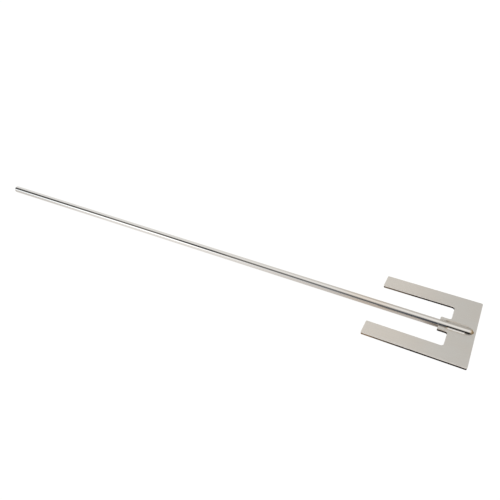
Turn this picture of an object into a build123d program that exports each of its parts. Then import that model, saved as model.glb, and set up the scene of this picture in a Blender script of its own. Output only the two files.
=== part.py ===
from build123d import *
import os
from math import sqrt

# Drill paint mixer: a round steel shaft whose slit end straddles a flat forked blade, held by
# four weld beads. The mixer lies flat. +X runs along the shaft from the chuck end to the tip,
# +Y runs across the blade and +Z is normal to it. The origin is on the surface under the shaft,
# half way along the mixer. Units are millimetres.

os.makedirs("parts", exist_ok=True)

# Shaft
overall_length = 598
shaft_diameter = 8
chuck_end_chamfer = 1
tip_length = 4  # as long as the shaft's radius, so the point has a right angle

# Blade
blade_length = 94.5
blade_width = 92.5
blade_thickness = 3.2
prong_width = 17
web_depth = 23.5  # from the blade's bottom edge to the bottom of the slots
tab_width = 18
tab_reach = 33  # from the blade's bottom edge to the end of the tab

# Corners of the blade, as they are cut, and the deburred arris all round it
bottom_corner_radius = 1.5
prong_corner_radius = 1.2
slot_corner_radius = 2.8
tab_root_radius = 2
tab_corner_radius = 1
arris = 0.25

# V-shaped score ring round the shaft, which marks how far it is pushed over the tab
score_width = 0.8
score_depth = 0.2
score_gap = 0.2  # from the ring to the end of the slit

# Weld beads
bead_length = 17
bead_end = 8.7  # from the blade's bottom edge to the nearer end of a bead
bead_toe = 5.5  # from the shaft's axis to the edge of a bead on the blade
bead_rise = 0.3  # from the blade's face to the edge of a bead on the shaft
bead_crown = 0.12
bead_end_radius = 1.5

# Places that follow from them
shaft_radius = shaft_diameter / 2
half_thickness = blade_thickness / 2
chuck_end_x = -overall_length / 2
bottom_edge_x = overall_length / 2
slit_end_x = bottom_edge_x - tab_reach
score_end_x = slit_end_x - score_gap
score_start_x = score_end_x - score_width
slot_width = blade_width - 2 * prong_width
slot_bottom_x = bottom_edge_x - web_depth
axis_height = shaft_radius
shaft_top = shaft_diameter
shaft_axis = Axis((0, 0, axis_height), (1, 0, 0))
blade_top = axis_height + half_thickness


def write(part, name):
    """Labels a finished piece and writes it under its node's name."""
    part.label = name
    export_step(part, f"parts/{name}.step")


# The shaft is turned: chamfered chuck end, score ring and conical point. Its profile is drawn
# above its axis. Then the end is slit to take the blade.
with BuildPart() as shaft:
    with BuildSketch(Plane.XZ):
        with BuildLine():
            Polyline(
                (chuck_end_x, axis_height),
                (chuck_end_x, shaft_top - chuck_end_chamfer),
                (chuck_end_x + chuck_end_chamfer, shaft_top),
                (score_start_x, shaft_top),
                (score_end_x - score_width / 2, shaft_top - score_depth),
                (score_end_x, shaft_top),
                (bottom_edge_x - tip_length, shaft_top),
                (bottom_edge_x, axis_height),
                close=True,
            )
        make_face()
    revolve(axis=shaft_axis)
    with BuildSketch(Plane.XZ):
        with Locations((slit_end_x, axis_height)):
            Rectangle(tab_reach, blade_thickness, align=(Align.MIN, Align.CENTER))
    extrude(amount=shaft_radius, both=True, mode=Mode.SUBTRACT)
write(shaft.part, "shaft")

# The blade is cut from plate: a rectangle, less the opening between the prongs, plus the tab
with BuildPart() as blade:
    with BuildSketch(Plane.XY.offset(axis_height - half_thickness)) as outline:
        with Locations((bottom_edge_x, 0)):
            Rectangle(blade_length, blade_width, align=(Align.MAX, Align.CENTER))
        with Locations((slot_bottom_x, 0)):
            Rectangle(blade_length, slot_width, align=(Align.MAX, Align.CENTER), mode=Mode.SUBTRACT)
            Rectangle(tab_reach - web_depth, tab_width, align=(Align.MAX, Align.CENTER))
        fillet(outline.vertices().group_by(Axis.X)[-1], bottom_corner_radius)
        fillet(outline.vertices().group_by(Axis.X)[0], prong_corner_radius)
        at_slot_bottom = outline.vertices().filter_by(lambda v: abs(v.X - slot_bottom_x) < arris)
        fillet(at_slot_bottom.filter_by(lambda v: abs(v.Y) > tab_width), slot_corner_radius)
        at_slot_bottom = outline.vertices().filter_by(lambda v: abs(v.X - slot_bottom_x) < arris)
        fillet(at_slot_bottom.filter_by(lambda v: abs(v.Y) < tab_width / 2 + arris), tab_root_radius)
        fillet(outline.vertices().filter_by(lambda v: abs(v.X - slit_end_x) < arris), tab_corner_radius)
    extrude(amount=blade_thickness)
    chamfer(blade.faces().filter_by(Axis.Z).edges(), arris)
write(blade.part, "blade")


def weld_bead():
    """A fillet weld on the blade's top face, on the side of the shaft that +Y points to."""
    flank = sqrt(shaft_radius**2 - half_thickness**2)
    rise_y = sqrt(shaft_radius**2 - (half_thickness + bead_rise) ** 2)
    root = (flank, blade_top)
    toe = (bead_toe, blade_top)
    shoulder = (rise_y, blade_top + bead_rise)
    end_x = bottom_edge_x - bead_end
    with BuildPart() as bead:
        with BuildSketch(Plane.YZ.offset(end_x - bead_length)):
            with BuildLine():
                Line(root, toe)
                SagittaArc(toe, shoulder, -bead_crown)
                RadiusArc(shoulder, root, shaft_radius)
            make_face()
        extrude(amount=bead_length)
        with BuildSketch(Plane.XY.offset(blade_top)):
            with Locations((end_x, bead_toe)):
                RectangleRounded(bead_length, 2 * bead_toe, bead_end_radius, align=Align.MAX)
        extrude(amount=shaft_radius, mode=Mode.INTERSECT)
    return bead.part


top_left = weld_bead()
write(top_left, "weld_top_left")
write(mirror(top_left, about=Plane.XZ), "weld_top_right")
bottom_left = mirror(top_left, about=Plane.XY.offset(axis_height))
write(bottom_left, "weld_bottom_left")
write(mirror(bottom_left, about=Plane.XZ), "weld_bottom_right")

free_wall = score_start_x - chuck_end_x - chuck_end_chamfer
print(f"free round length of the shaft {free_wall:g} mm, slots {slot_width:g} mm across")
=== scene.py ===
"""Looks of the drill paint mixer: polished shaft, satin forked blade and its four weld beads."""

import math

import bmesh
import bpy
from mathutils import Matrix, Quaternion, Vector, noise


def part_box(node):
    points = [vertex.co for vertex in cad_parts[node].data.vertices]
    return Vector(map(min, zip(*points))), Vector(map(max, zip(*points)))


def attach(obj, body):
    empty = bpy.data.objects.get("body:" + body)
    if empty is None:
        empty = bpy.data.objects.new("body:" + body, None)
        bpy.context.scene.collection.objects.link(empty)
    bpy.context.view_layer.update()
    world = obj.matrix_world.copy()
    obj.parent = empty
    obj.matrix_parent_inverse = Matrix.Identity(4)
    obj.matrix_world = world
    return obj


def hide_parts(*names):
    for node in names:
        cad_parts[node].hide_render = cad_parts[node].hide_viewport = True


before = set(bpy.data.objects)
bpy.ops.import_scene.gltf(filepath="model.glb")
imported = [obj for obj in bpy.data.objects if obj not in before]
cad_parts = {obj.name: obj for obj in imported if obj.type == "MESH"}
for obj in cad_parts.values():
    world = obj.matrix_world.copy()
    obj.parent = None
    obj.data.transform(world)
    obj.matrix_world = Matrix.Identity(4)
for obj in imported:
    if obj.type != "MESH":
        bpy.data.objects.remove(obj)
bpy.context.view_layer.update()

MM = 0.001

# The frame's boxes give every place on the mixer
blade_low, blade_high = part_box("blade")
shaft_low, shaft_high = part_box("shaft")
bead_low, bead_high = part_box("weld_top_left")

SHAFT_RADIUS = (shaft_high.z - shaft_low.z) / 2
AXIS_Z = (shaft_high.z + shaft_low.z) / 2
HALF_PLATE = (blade_high.z - blade_low.z) / 2
CHUCK_END_X = shaft_low.x
BOTTOM_EDGE_X = blade_high.x

# Details of the shaft that its box doesn't say
CHUCK_CHAMFER = 1 * MM
TIP_LENGTH = 4 * MM
SLIT_LENGTH = 33 * MM
SCORE_WIDTH = 0.3 * MM
SCORE_DEPTH = 0.03 * MM
SCORE_GAP = 0.2 * MM
SLIT_X = BOTTOM_EDGE_X - SLIT_LENGTH
TIP_BASE_X = BOTTOM_EDGE_X - TIP_LENGTH

# Details of the blade that its box doesn't say
PRONG_WIDTH = 17 * MM
SLOT_BOTTOM_X = BOTTOM_EDGE_X - 23.5 * MM
TAB_HALF_WIDTH = 9 * MM
BOTTOM_CORNER = 1.5 * MM
PRONG_CORNER = 1.2 * MM
SLOT_CORNER = 2.8 * MM
TAB_ROOT = 2 * MM
TAB_CORNER = 1 * MM
EDGE_ROUND = 0.3 * MM
SHORN_DEPTH = 1.22 * MM  # how far below the top face the smooth part of the cut edge reaches

# Mesh steps round the shaft, over or under the blade and beside it
OVER_STEPS = 64
BESIDE_STEPS = 20

# Colours of the plate, each pair the ends of its variation
PLATE_GREY = (0.642, 0.640, 0.622), (0.638, 0.624, 0.598)
# The warm pair is also lighter: painted light towards the prong ends
PLATE_WARM_LIT = (0.725, 0.700, 0.660), (0.718, 0.682, 0.634)
SCRATCH = (0.47, 0.45, 0.42)
STRAW_TINT = (0.46, 0.375, 0.27)
# Darker beside the shaft before the welds
DARK_BEFORE_WELD = (0.11, 0.085, 0.062)
# Painted shade on the plate beside the shaft, past the end of the welds
SHADE_AFTER_WELD = (0.09, 0.075, 0.062)
SMUDGE = (0.17, 0.145, 0.12)
SHORN = (0.70, 0.68, 0.65), (0.64, 0.61, 0.57)
# Near black: partly painted shade on the torn zone
TORN_BROWN_AND_SHADE = (0.008, 0.007, 0.006), (0.036, 0.029, 0.023)
TORN_TAN = (0.11, 0.083, 0.058), (0.21, 0.160, 0.112)
TORN_GOLD = (0.24, 0.165, 0.095)

# Colours of the shaft
BAR = (0.60, 0.585, 0.565), (0.64, 0.625, 0.60)
# Darker streaks low on the bar near the welds
BAR_DARK_LOW = (0.16, 0.125, 0.095)
BAR_FILM = (0.61, 0.56, 0.505)
# Painted shade on the shaft's left side
BAR_SHADED_LEFT = (0.37, 0.35, 0.32)
# Painted shade along each weld
WELD_SHADE = (0.055, 0.050, 0.047)
POINT = (0.315, 0.23, 0.135), (0.41, 0.31, 0.19)
POINT_TINT = (0.47, 0.37, 0.25)

# Colours of the weld metal
# Lighter than the bar: partly a painted highlight
BEAD_AND_HIGHLIGHT = (0.76, 0.745, 0.73), (0.67, 0.65, 0.625)
# Painted shade on the left beads
BEAD_LEFT_SHADE = (0.62, 0.605, 0.58)
# Painted shade at the bead's toe against the shaft
BEAD_TOE_SHADE = (0.085, 0.080, 0.075)
BEAD_START = (0.33, 0.235, 0.145)
BEAD_END = (0.40, 0.30, 0.19)

# Painted light and shadow of the table, and colours of the room, as the steel sees them
TABLE_LEFT = (0.91, 0.885, 0.86)
TABLE_BRIGHT = (1.25, 1.23, 1.215)
TABLE_DIM = (0.60, 0.53, 0.475)
TABLE_SHADOW = (0.5, 0.48, 0.46)
WALL = (0.78, 0.75, 0.71)
WALL_MIDDLE = (1.13, 1.125, 1.11)
WALL_LEFT = (1.13, 1.13, 1.13)
CEILING = (1.23, 1.215, 1.19)
SURROUND_FRONT = (0.070, 0.080, 0.100)
SURROUND_RIGHT = (0.17, 0.188, 0.22)
SURROUND_MIDDLE = (0.30, 0.285, 0.27)
SURROUND_LEFT = (0.12, 0.12, 0.12)
SURROUND_GAP = (0.075, 0.08, 0.09)
LAMP_DULL = (0.68, 0.70, 0.72)
LAMP_MIDDLE = (2.36, 2.40, 2.44)
LAMP_LEFT = (2.10, 2.24, 2.36)
WHITE = (1.0, 1.0, 1.0)


# ---------------------------------------------------------------- node sums for the materials


class Graph:
    """A node tree, with short calls for the sums that the materials are made of."""

    def __init__(self, tree):
        self.tree = tree
        self.tree.nodes.clear()

    def add(self, kind, inputs=None, **settings):
        node = self.tree.nodes.new(kind)
        for name, value in settings.items():
            setattr(node, name, value)
        for name, value in (inputs or {}).items():
            self.feed(node.inputs[name], value)
        return node

    def feed(self, socket, value):
        """Links another node's output to a socket, or sets the socket's own value."""
        if isinstance(value, bpy.types.NodeSocket):
            self.tree.links.new(value, socket)
        elif isinstance(value, tuple) and socket.type == "RGBA":
            socket.default_value = (*value, 1)
        else:
            socket.default_value = value

    def math(self, operation, a, b=0.0):
        return self.add("ShaderNodeMath", {0: a, 1: b}, operation=operation).outputs[0]

    def product(self, *values):
        total = values[0]
        for value in values[1:]:
            total = self.math("MULTIPLY", total, value)
        return total

    def away(self, value, middle=0.0):
        """How far a value is from the middle, either way."""
        return self.math("ABSOLUTE", self.math("SUBTRACT", value, middle))

    def split(self, vector):
        return self.add("ShaderNodeSeparateXYZ", {0: vector}).outputs

    def step(self, value, start, end):
        """0 before start and 1 after end, with a smooth change between them."""
        inputs = {"Value": value, "From Min": min(start, end), "From Max": max(start, end)}
        inputs["To Min"], inputs["To Max"] = (0.0, 1.0) if end > start else (1.0, 0.0)
        return self.add("ShaderNodeMapRange", inputs, interpolation_type="SMOOTHSTEP").outputs[0]

    def band(self, value, outer_low, inner_low, inner_high, outer_high):
        """1 between the inner limits and 0 past the outer ones, with a smooth change between."""
        fall = self.step(value, outer_high, inner_high)
        return self.product(fall, self.step(value, outer_low, inner_low))

    def blend(self, amount, first, second):
        """A colour: the first where the amount is 0, the second where it is 1."""
        node = self.add("ShaderNodeMix", data_type="RGBA")
        self.feed(node.inputs[0], amount)
        self.feed(node.inputs[6], first)
        self.feed(node.inputs[7], second)
        return node.outputs[2]

    def mix_value(self, amount, first, second):
        """A number: the first where the amount is 0, the second where it is 1."""
        return self.add("ShaderNodeMix", {0: amount, 2: first, 3: second}).outputs[0]

    def noise(self, place, waves, detail=2.0, roughness=0.5):
        """A random pattern from 0 to 1, with so many waves a metre along each axis."""
        scaled = self.add("ShaderNodeVectorMath", {0: place, 1: waves}, operation="MULTIPLY")
        inputs = {"Vector": scaled.outputs[0], "Scale": 1.0}
        inputs.update({"Detail": detail, "Roughness": roughness})
        return self.add("ShaderNodeTexNoise", inputs).outputs[0]

    def bump(self, height, strength, distance, onto=None):
        inputs = {"Height": height, "Strength": strength, "Distance": distance}
        if onto is not None:
            inputs["Normal"] = onto
        return self.add("ShaderNodeBump", inputs).outputs[0]


def metal(name, paint):
    """A metal whose paint(graph, shader, place) links what changes over its surface."""
    material = bpy.data.materials.new(name)
    material.use_nodes = True
    graph = Graph(material.node_tree)
    shader = graph.add("ShaderNodeBsdfPrincipled", {"Metallic": 1.0})
    output = graph.add("ShaderNodeOutputMaterial")
    graph.feed(output.inputs["Surface"], shader.outputs[0])
    place = graph.add("ShaderNodeTexCoord").outputs["Object"]
    paint(graph, shader, place)
    return material


def weld_distance(graph, x, y):
    """How far a point is from the nearer weld bead, measured along the blade, in metres."""
    before = graph.math("SUBTRACT", bead_low.x, x)
    after = graph.math("SUBTRACT", x, bead_high.x)
    along = graph.math("MAXIMUM", graph.math("MAXIMUM", before, after), 0.0)
    middle = (bead_low.y + bead_high.y) / 2
    reach = (bead_high.y - bead_low.y) / 2
    off_centre = graph.away(graph.away(y), middle)
    across = graph.math("MAXIMUM", graph.math("SUBTRACT", off_centre, reach), 0.0)
    squares = graph.math("ADD", graph.product(along, along), graph.product(across, across))
    return graph.math("SQRT", squares)


# ---------------------------------------------------------------- materials


def blade_face(graph, x, y, place, grain, ragged):
    """The colour of the plate's faces: grey, warmer along the prongs and lighter there as painted
    light, with heat tint, darker patches beside the shaft and painted shade after the welds.

    Here and on the shaft, back is the distance from the blade's bottom edge.
    """
    back = graph.math("SUBTRACT", BOTTOM_EDGE_X, x)
    blotches = graph.step(graph.noise(place, (22, 34, 34), detail=3.0), 0.35, 0.68)
    grey = graph.blend(blotches, *PLATE_GREY)
    # Lighter towards the prong ends: painted light, with a warmer tone
    warm_lit = graph.blend(blotches, *PLATE_WARM_LIT)
    face = graph.blend(graph.step(back, 8 * MM, 82 * MM), grey, warm_lit)
    scratches = graph.product(graph.step(grain, 0.3, 0.75), 0.18)
    face = graph.blend(scratches, face, SCRATCH)

    # Straw tint round the welds
    far = weld_distance(graph, x, y)
    straw = graph.product(graph.step(far, 2.8 * MM, 0.3 * MM), graph.step(ragged, 0.25, 0.6), 0.45)
    face = graph.blend(straw, face, STRAW_TINT)

    # Darker beside the shaft before the welds, painted shade beside it after the welds, and a
    # smudge on the left
    beside_shaft = graph.step(graph.away(y), 6.0 * MM, 4.2 * MM)
    more_on_right = graph.mix_value(graph.step(y, 1 * MM, -1 * MM), 0.30, 0.75)
    before_weld = graph.band(back, 23.5 * MM, 26.5 * MM, 32.5 * MM, 34.5 * MM)
    darkened = graph.product(before_weld, beside_shaft, more_on_right)
    face = graph.blend(darkened, face, DARK_BEFORE_WELD)
    # Painted shade beside the shaft between the welds' ends and the point
    after_weld = graph.band(back, 4.2 * MM, 5.4 * MM, 8.2 * MM, 9.2 * MM)
    darkened = graph.product(after_weld, beside_shaft, 0.6)
    face = graph.blend(darkened, face, SHADE_AFTER_WELD)
    along_smudge = graph.band(back, 22 * MM, 24 * MM, 27 * MM, 28.5 * MM)
    across_smudge = graph.band(y, 3.5 * MM, 4.5 * MM, 4.9 * MM, 5.9 * MM)
    smudge = graph.product(along_smudge, across_smudge, 0.75)
    return graph.blend(smudge, face, SMUDGE)


def paint_blade(graph, shader, place):
    """Satin plate with a fine grain along the prongs, and a cut edge in two parts."""
    x, y, z = graph.split(place)
    back = graph.math("SUBTRACT", BOTTOM_EDGE_X, x)
    normal = graph.add("ShaderNodeNewGeometry").outputs["Normal"]
    edge = graph.step(graph.away(graph.split(normal)[2]), 0.80, 0.55)
    grain = graph.noise(place, (60, 5200, 5200), detail=4.0, roughness=0.6)
    ragged = graph.noise(place, (420, 420, 420), detail=3.0)
    face = blade_face(graph, x, y, place, grain, ragged)

    # The cut edge: shorn bright above, torn below in near-black brown that is partly painted shade,
    # tan towards the ends of the prongs
    cut_lines = graph.noise(place, (2600, 2600, 130), detail=3.0)
    streaks = graph.step(cut_lines, 0.3, 0.7)
    shorn = graph.blend(cut_lines, *SHORN)
    brown_and_shade = graph.blend(streaks, *TORN_BROWN_AND_SHADE)
    tan = graph.blend(streaks, *TORN_TAN)
    torn = graph.blend(graph.step(back, 50 * MM, 86 * MM), brown_and_shade, tan)
    prong_end = graph.step(back, 81.5 * MM, 86.5 * MM)
    golden = graph.product(prong_end, graph.step(y, -42 * MM, -45 * MM))
    torn = graph.blend(golden, torn, TORN_GOLD)
    waver = graph.product(graph.math("SUBTRACT", ragged, 0.5), 0.7 * MM)
    border = blade_high.z - SHORN_DEPTH
    below = graph.step(graph.math("ADD", z, waver), border + 0.12 * MM, border - 0.12 * MM)
    cut = graph.blend(below, shorn, torn)
    graph.feed(shader.inputs["Base Color"], graph.blend(edge, face, cut))

    smudges = graph.noise(place, (48, 70, 70), detail=4.0)
    satin = graph.mix_value(smudges, 0.30, 0.40)
    cut_roughness = graph.mix_value(below, 0.28, 0.55)
    graph.feed(shader.inputs["Roughness"], graph.mix_value(edge, satin, cut_roughness))
    brushed = graph.bump(grain, 0.35, 0.01 * MM)
    furrowed = graph.bump(cut_lines, graph.product(edge, 0.5), 0.03 * MM, brushed)
    graph.feed(shader.inputs["Normal"], furrowed)


def paint_shaft(graph, shader, place):
    """Bright ground bar with fine rings, a straw-coloured point, darker streaks low near the welds,
    and painted shade along the welds and on the left side.
    """
    x, y, z = graph.split(place)
    back = graph.math("SUBTRACT", BOTTOM_EDGE_X, x)
    height = graph.away(z, AXIS_Z)
    streaks = graph.noise(place, (14, 900, 900), detail=3.0)
    bar = graph.blend(streaks, *BAR)

    # Darker streaks low on the bar, from before the tab to where the welds start
    dark_streaks = graph.noise(place, (160, 700, 700), detail=4.0, roughness=0.6)
    near_weld = graph.band(back, 23 * MM, 26 * MM, 35 * MM, 52 * MM)
    low = graph.step(z, AXIS_Z + 1.8 * MM, AXIS_Z + 0.2 * MM)
    darkened = graph.product(near_weld, low, graph.step(dark_streaks, 0.25, 0.55), 0.8)
    bar = graph.blend(darkened, bar, BAR_DARK_LOW)

    # A faint straw film on the last third
    film = graph.product(graph.band(back, 66 * MM, 90 * MM, 108 * MM, 140 * MM), 0.85)
    bar = graph.blend(film, bar, BAR_FILM)

    # Painted shade in a dark band along each weld up to the point, deepest past the bead's end, and
    # painted shade on the left side
    beside_weld = graph.step(height, 3.05 * MM, 2.60 * MM)
    weld_shade = graph.product(beside_weld, graph.band(back, 4.4 * MM, 5.4 * MM, 25 * MM, 26.5 * MM))
    depth = graph.mix_value(graph.step(back, 9.2 * MM, 8.0 * MM), 0.80, 0.96)
    bar = graph.blend(graph.product(weld_shade, depth), bar, WELD_SHADE)
    over_blade = graph.step(back, 35 * MM, 29 * MM)
    # Painted shade on the left side of the shaft over the blade
    shaded_left = graph.product(graph.step(y, -1.9 * MM, 0.9 * MM), over_blade, 0.5)
    bar = graph.blend(shaded_left, bar, BAR_SHADED_LEFT)

    point = graph.step(x, TIP_BASE_X - 0.1 * MM, TIP_BASE_X + 0.1 * MM)
    heated = graph.product(graph.step(x, TIP_BASE_X - 2.2 * MM, TIP_BASE_X), 0.75)
    turned = graph.noise(place, (2600, 120, 120), detail=2.0)
    straw = graph.blend(turned, *POINT)
    bar = graph.blend(heated, bar, POINT_TINT)
    graph.feed(shader.inputs["Base Color"], graph.blend(point, bar, straw))

    smears = graph.noise(place, (30, 260, 260), detail=4.0)
    polished = graph.mix_value(smears, 0.07, 0.13)
    graph.feed(shader.inputs["Roughness"], graph.mix_value(point, polished, 0.50))
    rings = graph.noise(place, (5200, 60, 60), detail=3.0)
    ground = graph.bump(rings, 0.12, 0.004 * MM)
    grooved = graph.bump(turned, graph.product(point, 0.6), 0.03 * MM, ground)
    graph.feed(shader.inputs["Normal"], grooved)


def paint_weld(graph, shader, place):
    """Weld metal made brighter by a painted highlight, with painted shade on the left beads and at
    the toe against the shaft, and heat tint at the two ends of each bead.
    """
    x, y, z = graph.split(place)
    scale = graph.noise(place, (900, 900, 900), detail=3.0)
    # The bead's brightness is partly a painted highlight
    bright = graph.blend(scale, *BEAD_AND_HIGHLIGHT)
    # Painted shade on the left beads
    bright = graph.blend(graph.step(y, 0.0, 1 * MM), bright, BEAD_LEFT_SHADE)
    # Painted shade at the bead's toe against the shaft
    toe_shade = graph.product(graph.step(graph.away(z, AXIS_Z), 1.80 * MM, 1.90 * MM), 0.3)
    bright = graph.blend(toe_shade, bright, BEAD_TOE_SHADE)
    start = graph.step(x, bead_low.x + 2.2 * MM, bead_low.x)
    stop = graph.product(graph.step(x, bead_high.x - 0.9 * MM, bead_high.x), 0.6)
    tinted = graph.blend(start, bright, BEAD_START)
    tinted = graph.blend(stop, tinted, BEAD_END)
    graph.feed(shader.inputs["Base Color"], tinted)
    graph.feed(shader.inputs["Roughness"], graph.mix_value(scale, 0.16, 0.30))
    graph.feed(shader.inputs["Normal"], graph.bump(scale, 0.25, 0.02 * MM))


# ---------------------------------------------------------------- pieces in mesh


def piece(name, mesh_data, material, stands_for):
    """A finished piece in the mixer's frame, in place of the CAD node it stands for."""
    mesh = bpy.data.meshes.new(name)
    mesh_data.to_mesh(mesh)
    mesh_data.free()
    mesh.materials.append(material)
    made = bpy.data.objects.new(name, mesh)
    bpy.context.scene.collection.objects.link(made)
    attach(made, "root")
    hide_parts(stands_for)
    return made


def bridge(mesh_data, first, second, closed=True):
    """Quads between two rows of points of the same length."""
    count = len(first)
    for i in range(count if closed else count - 1):
        j = (i + 1) % count
        mesh_data.faces.new((first[i], first[j], second[j], second[i]))


def shade_smooth_but(mesh_data, sharp_angle):
    """Smooth shading, with a sharp edge wherever the surface turns by more than sharp_angle."""
    for face in mesh_data.faces:
        face.smooth = True
    for edge in mesh_data.edges:
        edge.smooth = not (edge.is_manifold and edge.calc_face_angle() > sharp_angle)


def ring_angles():
    """Angles round the shaft from the top, with points exactly on the four lips of the slit."""
    lip = math.acos(HALF_PLATE / SHAFT_RADIUS)
    corners = [-lip, lip, math.pi - lip, math.pi + lip, 2 * math.pi - lip]
    angles = []
    for first, last, count in zip(corners, corners[1:], (OVER_STEPS, BESIDE_STEPS) * 2):
        angles += [first + (last - first) * i / count for i in range(count)]
    return angles


def shaft_profile():
    """(x, radius) from the chuck end to the slit, with small rounds at the chamfer."""
    ease = 0.08 * MM
    nick = 0.3 * ease
    guard = 0.4 * MM  # a short ring beside each feature keeps its shading off the long bar
    small_end = SHAFT_RADIUS - CHUCK_CHAMFER
    chamfer_end = CHUCK_END_X + CHUCK_CHAMFER
    rows = [
        (CHUCK_END_X, small_end - ease),
        (CHUCK_END_X + nick, small_end + nick),
        (chamfer_end - ease, SHAFT_RADIUS - ease),
        (chamfer_end, SHAFT_RADIUS - nick),
        (chamfer_end + ease, SHAFT_RADIUS),
    ]
    score_end = SLIT_X - SCORE_GAP
    score_start = score_end - SCORE_WIDTH
    start = chamfer_end + ease + guard
    end = score_start - guard
    count = 56
    rows += [(start + (end - start) * i / count, SHAFT_RADIUS) for i in range(count + 1)]
    rows += [
        (score_start, SHAFT_RADIUS),
        (score_end - SCORE_WIDTH / 2, SHAFT_RADIUS - SCORE_DEPTH),
        (score_end, SHAFT_RADIUS),
        (score_end + SCORE_GAP / 2, SHAFT_RADIUS),
        (SLIT_X, SHAFT_RADIUS),
    ]
    return rows


def shaft_mesh():
    """The round bar, and its two halves over and under the blade, up to the conical point."""
    mesh_data = bmesh.new()
    angles = ring_angles()

    def point(x, radius, angle):
        y = radius * math.sin(angle)
        return mesh_data.verts.new((x, y, AXIS_Z + radius * math.cos(angle)))

    rings = [[point(x, radius, a) for a in angles] for x, radius in shaft_profile()]
    mesh_data.faces.new(rings[0])
    for first, second in zip(rings, rings[1:]):
        bridge(mesh_data, first, second)

    # The end of the slit, between the two halves
    slit_ring = rings[-1]
    bottom_start = OVER_STEPS + BESIDE_STEPS
    bottom_end = bottom_start + OVER_STEPS
    left = slit_ring[OVER_STEPS : bottom_start + 1]
    right = slit_ring[bottom_end:] + slit_ring[:1]
    mesh_data.faces.new(left + right)

    # The two halves
    tip_x = BOTTOM_EDGE_X - HALF_PLATE
    straight_steps, cone_steps = 12, 10
    straight = (TIP_BASE_X - SLIT_X) / straight_steps
    cone = (tip_x - TIP_BASE_X) / cone_steps
    stations = [SLIT_X + straight * i for i in range(1, straight_steps + 1)]
    stations += [TIP_BASE_X + cone * i for i in range(1, cone_steps)]
    top_row = slit_ring[: OVER_STEPS + 1]
    bottom_row = slit_ring[bottom_start : bottom_end + 1]
    for side, previous in ((0.0, top_row), (math.pi, bottom_row)):
        for x in stations:
            radius = min(SHAFT_RADIUS, BOTTOM_EDGE_X - x)
            lip = math.acos(HALF_PLATE / radius)
            turns = [side - lip + 2 * lip * i / OVER_STEPS for i in range(OVER_STEPS + 1)]
            row = [point(x, radius, turn) for turn in turns]
            bridge(mesh_data, previous, row, closed=False)
            mesh_data.faces.new((previous[-1], previous[0], row[0], row[-1]))
            previous = row
        apex = point(tip_x, HALF_PLATE, side)
        for i in range(OVER_STEPS):
            mesh_data.faces.new((previous[i], previous[i + 1], apex))
        mesh_data.faces.new((previous[-1], previous[0], apex))
    bmesh.ops.recalc_face_normals(mesh_data, faces=mesh_data.faces)
    shade_smooth_but(mesh_data, math.radians(8))
    return mesh_data


def blade_outline():
    """(x, y, outward x, outward y, distance round) at even steps round the blade, from above."""
    far_y = blade_high.y
    slot_y = far_y - PRONG_WIDTH
    prong_x = blade_low.x
    half = [
        (BOTTOM_EDGE_X, far_y, BOTTOM_CORNER),
        (prong_x, far_y, PRONG_CORNER),
        (prong_x, slot_y, PRONG_CORNER),
        (SLOT_BOTTOM_X, slot_y, SLOT_CORNER),
        (SLOT_BOTTOM_X, TAB_HALF_WIDTH, TAB_ROOT),
        (SLIT_X, TAB_HALF_WIDTH, TAB_CORNER),
    ]
    corners = [(Vector((x, y)), radius) for x, y, radius in half]
    corners += [(Vector((corner.x, -corner.y)), radius) for corner, radius in reversed(corners)]
    spacing = 0.25 * MM
    points = []
    done = 0.0

    def walk(length, at):
        """Adds the points of one stretch. at(share) gives a place and its outward direction."""
        nonlocal done
        count = max(1, round(length / spacing))
        for i in range(count):
            spot, outward = at(i / count)
            points.append((spot.x, spot.y, outward.x, outward.y, done + length * i / count))
        done += length

    for i, (corner, radius) in enumerate(corners):
        before = corners[i - 1][0]
        after, next_radius = corners[(i + 1) % len(corners)]
        coming = (corner - before).normalized()
        going = (after - corner).normalized()
        turn = coming.cross(going)  # +1 round an outer corner, -1 round an inner one
        centre = corner - coming * radius + Vector((-coming.y, coming.x)) * radius * turn
        start = Vector((coming.y, -coming.x))

        def round_corner(share):
            angle = turn * share * math.pi / 2
            cosine, sine = math.cos(angle), math.sin(angle)
            outward_x = start.x * cosine - start.y * sine
            outward = Vector((outward_x, start.x * sine + start.y * cosine))
            return centre + outward * radius * turn, outward

        def straight(share):
            first = corner + going * radius
            last = after - going * next_radius
            return first.lerp(last, share), Vector((going.y, -going.x))

        walk(radius * math.pi / 2, round_corner)
        walk((after - corner).length - radius - next_radius, straight)
    return points


def edge_rows(thickness, torn_depth):
    """(inset, depth, how torn) down the plate's cut edge, from its top face to its underside."""
    roll_steps = 6
    torn_steps = 5
    first_share, last_share = 0.06, 0.91  # of the torn depth, between which it is fully torn
    first_inset, last_inset = 0.03 * MM, 0.07 * MM
    break_inset, break_height = 0.12 * MM, 0.06 * MM  # where the torn zone turns to the underside
    foot_inset = 0.24 * MM

    rolled = [math.pi / 2 * i / roll_steps for i in range(roll_steps + 1)]
    rows = [(EDGE_ROUND * (1 - math.sin(a)), EDGE_ROUND * (1 - math.cos(a)), 0.0) for a in rolled]
    rows.append((0.0, SHORN_DEPTH, 0.0))
    for i in range(torn_steps + 1):
        share = first_share + (last_share - first_share) * i / torn_steps
        inset = first_inset + (last_inset - first_inset) * i / torn_steps
        rows.append((inset, SHORN_DEPTH + torn_depth * share, 1.0))
    return rows + [(break_inset, thickness - break_height, 0.5), (foot_inset, thickness, 0.0)]


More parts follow.
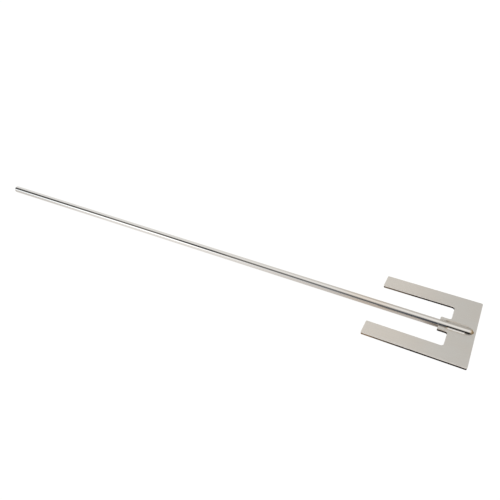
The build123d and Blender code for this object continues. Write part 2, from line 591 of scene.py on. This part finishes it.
def blade_mesh():
    """The plate: rounded top edge, a smooth shorn land, and a torn, ridged zone under it."""
    mesh_data = bmesh.new()
    thickness = 2 * HALF_PLATE
    torn_depth = thickness - SHORN_DEPTH
    ridge = 0.05 * MM
    waver = 0.10 * MM

    # Lengths of the waves round the edge and down it
    fine, fine_down = 0.55 * MM, 4 * MM
    coarse, coarse_down = 2.3 * MM, 6 * MM
    long = 3.1 * MM

    outline = blade_outline()
    rings = []
    for inset, depth, torn in edge_rows(thickness, torn_depth):
        ring = []
        for x, y, out_x, out_y, along in outline:
            ripple = noise.noise(Vector((along / fine, depth / fine_down, 0)))
            swell = noise.noise(Vector((along / coarse, depth / coarse_down, 7)))
            into = max(inset + torn * ridge * (0.5 + 0.5 * ripple + 0.3 * swell), 0.0)
            sag = 0.0
            if depth >= SHORN_DEPTH:
                sway = waver * noise.noise(Vector((along / long, 3, 3)))
                sag = sway * (thickness - depth) / torn_depth
            place = (x - out_x * into, y - out_y * into, blade_high.z - depth - sag)
            ring.append(mesh_data.verts.new(place))
        rings.append(ring)
    for first, second in zip(rings, rings[1:]):
        bridge(mesh_data, first, second)
    flats = [mesh_data.faces.new(rings[0]), mesh_data.faces.new(rings[-1])]
    bmesh.ops.recalc_face_normals(mesh_data, faces=mesh_data.faces)
    shade_smooth_but(mesh_data, math.radians(40))
    for face in flats:
        face.smooth = False
    return mesh_data


def weld_bead(side, level):
    """A ripple-marked fillet bead. side is +1 left or -1 right, level is +1 top or -1 underside."""
    mesh_data = bmesh.new()
    toe_y = bead_high.y
    lip_y = math.sqrt(SHAFT_RADIUS**2 - HALF_PLATE**2)
    rise = bead_high.z - bead_low.z
    shoulder_y = math.sqrt(SHAFT_RADIUS**2 - (HALF_PLATE + rise) ** 2)
    run = toe_y - shoulder_y
    slope = math.hypot(rise, run)
    crown = 0.12 * MM
    ripple_pitch = 0.9 * MM
    ripple_height = 0.045 * MM
    ripple_lag = 0.55 * MM  # how far a ripple's ends trail behind its middle
    round_length = 1.3 * MM  # of each end of the bead
    least_size = 0.03
    size_sway, size_waves = 0.07, 11  # the size changes by this share, so often along the bead
    ripple_sway, ripple_waves = 0.25, 23  # and the ripples by this share of their pitch
    ripple_bluntness = 0.6
    sunk = 0.04 * MM
    length = bead_high.x - bead_low.x
    steps_across, steps_along = 18, 190
    seed = Vector((3.7 * side, 1.9 * level, 0.0))

    def section(share):
        """The outline at a share of the length, from the shaft over the crown to the plate."""
        x = bead_low.x + share * length
        from_end = min(share, 1 - share) * length
        round_end = min(1.0, from_end / round_length)
        fullness = math.sqrt(max(0.0, 1 - (1 - round_end) ** 2))
        size = fullness * (1 - least_size) + least_size
        size *= 1 + size_sway * noise.noise(seed + Vector((share * size_waves, 0, 0)))
        jitter = ripple_sway * noise.noise(seed + Vector((share * ripple_waves, 4, 0)))
        row = []
        for i in range(steps_across + 1):
            u = i / steps_across
            hump = 4 * u * (1 - u)
            lag = ripple_lag * (2 * u - 1) ** 2
            phase = (x + lag) / ripple_pitch + jitter
            ripple = ripple_height * abs(math.sin(math.pi * phase)) ** ripple_bluntness * hump
            lift = crown * hump + ripple
            y = shoulder_y + run * u + lift * rise / slope
            z = HALF_PLATE + rise * (1 - u) + lift * run / slope
            row.append((x, lip_y + (y - lip_y) * size, HALF_PLATE + (z - HALF_PLATE) * size))
        row.append((x, toe_y * size + lip_y * (1 - size), HALF_PLATE - sunk))
        row.append((x, lip_y - sunk, HALF_PLATE - sunk))
        return [mesh_data.verts.new((px, side * py, AXIS_Z + level * pz)) for px, py, pz in row]

    rows = [section(i / steps_along) for i in range(steps_along + 1)]
    for first, second in zip(rows, rows[1:]):
        bridge(mesh_data, first, second)
    mesh_data.faces.new(rows[0])
    mesh_data.faces.new(rows[-1])
    bmesh.ops.recalc_face_normals(mesh_data, faces=mesh_data.faces)
    shade_smooth_but(mesh_data, math.radians(50))
    return mesh_data


# ---------------------------------------------------------------- studio


def camera():
    """At the photograph's viewing angle."""
    place = Vector((0.2760, -0.3913, 0.3433))
    aim = Vector((0.0495, 0.0266, 0.0))
    roll = math.radians(-0.52)
    data = bpy.data.cameras.new("camera")
    data.lens = 36.69
    data.sensor_width = 36.0
    data.clip_start = 0.01
    made = bpy.data.objects.new("camera", data)
    made.rotation_mode = "QUATERNION"
    made.location = place
    turn = (aim - place).to_track_quat("-Z", "Y")
    made.rotation_quaternion = turn @ Quaternion((0, 0, 1), roll)
    bpy.context.scene.collection.objects.link(made)
    bpy.context.scene.camera = made


def table_sheen(graph):
    """Painted light and shadow of the table as the steel reflects it: brightest beside the middle
    of the shaft.
    """
    x, y, _ = graph.split(graph.add("ShaderNodeTexCoord").outputs["Object"])
    off_axis = graph.away(y)
    lit = graph.step(x, -0.33, -0.10)
    sheen = graph.blend(lit, TABLE_LEFT, TABLE_BRIGHT)
    beside_shaft = graph.band(y, -0.040, -0.033, 0.015, 0.022)
    close = graph.mix_value(graph.step(off_axis, 14 * MM, 8 * MM), 1.0, 0.72)
    across = graph.mix_value(beside_shaft, 0.35, close)
    dimmed = graph.product(graph.step(x, -0.02, 0.27), across)
    sheen = graph.blend(dimmed, sheen, TABLE_DIM)
    shadow = graph.product(graph.step(off_axis, 12 * MM, 1 * MM), 0.25)
    return graph.blend(shadow, sheen, TABLE_SHADOW)


def floor():
    """A white table that glows evenly for the camera, and shows the steel a painted pool of light
    and painted shadow.
    """
    material = bpy.data.materials.new("white_table")
    material.use_nodes = True
    graph = Graph(material.node_tree)
    lit = graph.add("ShaderNodeBsdfDiffuse", {"Color": (0.9, 0.9, 0.9)})
    glow = graph.add("ShaderNodeEmission", {"Color": WHITE, "Strength": 1.06})
    shown = graph.add("ShaderNodeMixShader", {0: 0.92, 1: lit.outputs[0], 2: glow.outputs[0]})
    mirrored = graph.add("ShaderNodeEmission", {"Color": table_sheen(graph), "Strength": 1.0})
    ray = graph.add("ShaderNodeLightPath")
    inputs = {0: ray.outputs["Is Glossy Ray"], 1: shown.outputs[0], 2: mirrored.outputs[0]}
    both = graph.add("ShaderNodeMixShader", inputs)
    output = graph.add("ShaderNodeOutputMaterial")
    graph.feed(output.inputs["Surface"], both.outputs[0])

    mesh_data = bmesh.new()
    bmesh.ops.create_grid(mesh_data, x_segments=1, y_segments=1, size=30)
    mesh = bpy.data.meshes.new("white_table")
    mesh_data.to_mesh(mesh)
    mesh_data.free()
    mesh.materials.append(material)
    made = bpy.data.objects.new("white_table", mesh)
    made.location.z = -0.02 * MM
    bpy.context.scene.collection.objects.link(made)


def studio_light():
    """A soft white room: a bright ceiling, and a lamp in a dark surround beyond the chuck end."""
    world = bpy.data.worlds.new("studio")
    bpy.context.scene.world = world
    world.use_nodes = True
    graph = Graph(world.node_tree)
    direction = graph.add("ShaderNodeTexCoord").outputs["Generated"]
    x, _, z = graph.split(direction)

    # The room changes along the shaft: front is past the blade, and left past the chuck end
    leftwards = graph.step(x, -0.05, -0.5)
    far_left = graph.step(x, -0.5, -0.75)
    ahead = graph.step(x, -0.13, 0.0)

    def zoned(mix, front, right, middle, left):
        rightwards = mix(ahead, right, front)
        return mix(far_left, mix(leftwards, rightwards, middle), left)

    room = zoned(graph.blend, WALL, WALL, WALL_MIDDLE, WALL_LEFT)
    room = graph.blend(graph.step(z, 0.86, 0.92), room, CEILING)

    lamp_axis = (-0.712, -0.693, 0.112)
    inputs = {0: direction, 1: lamp_axis}
    toward = graph.add("ShaderNodeVectorMath", inputs, operation="DOT_PRODUCT").outputs["Value"]
    soft = 0.023  # half the width of the lamp's and the surround's soft borders

    surround_edge = zoned(graph.mix_value, 0.56, 0.68, 0.58, 0.61)
    surround = zoned(
        graph.blend, SURROUND_FRONT, SURROUND_RIGHT, SURROUND_MIDDLE, SURROUND_LEFT
    )
    gap = graph.band(x, -0.575, -0.475, -0.455, -0.415)
    surround = graph.blend(gap, surround, SURROUND_GAP)
    in_surround = graph.step(graph.math("SUBTRACT", toward, surround_edge), -soft, soft)
    room = graph.blend(in_surround, room, surround)

    lamp_edge = zoned(graph.mix_value, 0.80, 0.80, 0.94, 0.985)
    lamp = zoned(graph.blend, LAMP_DULL, LAMP_DULL, LAMP_MIDDLE, LAMP_LEFT)
    in_lamp = graph.step(graph.math("SUBTRACT", toward, lamp_edge), -soft, soft)
    room = graph.blend(in_lamp, room, lamp)

    light = graph.add("ShaderNodeBackground", {"Color": room, "Strength": 1.0})
    white = graph.add("ShaderNodeBackground", {"Color": WHITE, "Strength": 1.0})
    ray = graph.add("ShaderNodeLightPath").outputs["Is Camera Ray"]
    both = graph.add("ShaderNodeMixShader", {0: ray, 1: light.outputs[0], 2: white.outputs[0]})
    output = graph.add("ShaderNodeOutputWorld")
    graph.feed(output.inputs["Surface"], both.outputs[0])


# ---------------------------------------------------------------- the scene

bpy.context.scene.view_settings.view_transform = "Standard"
camera()
studio_light()
floor()

shaft_steel = metal("polished_shaft_steel", paint_shaft)
blade_steel = metal("satin_blade_steel", paint_blade)
weld_steel = metal("tinted_weld_steel", paint_weld)

piece("blade_plate", blade_mesh(), blade_steel, "blade")
piece("shaft_bar", shaft_mesh(), shaft_steel, "shaft")
for level, level_name in ((1, "top"), (-1, "bottom")):
    for side, side_name in ((1, "left"), (-1, "right")):
        node = f"weld_{level_name}_{side_name}"
        piece(f"{node}_bead", weld_bead(side, level), weld_steel, node)

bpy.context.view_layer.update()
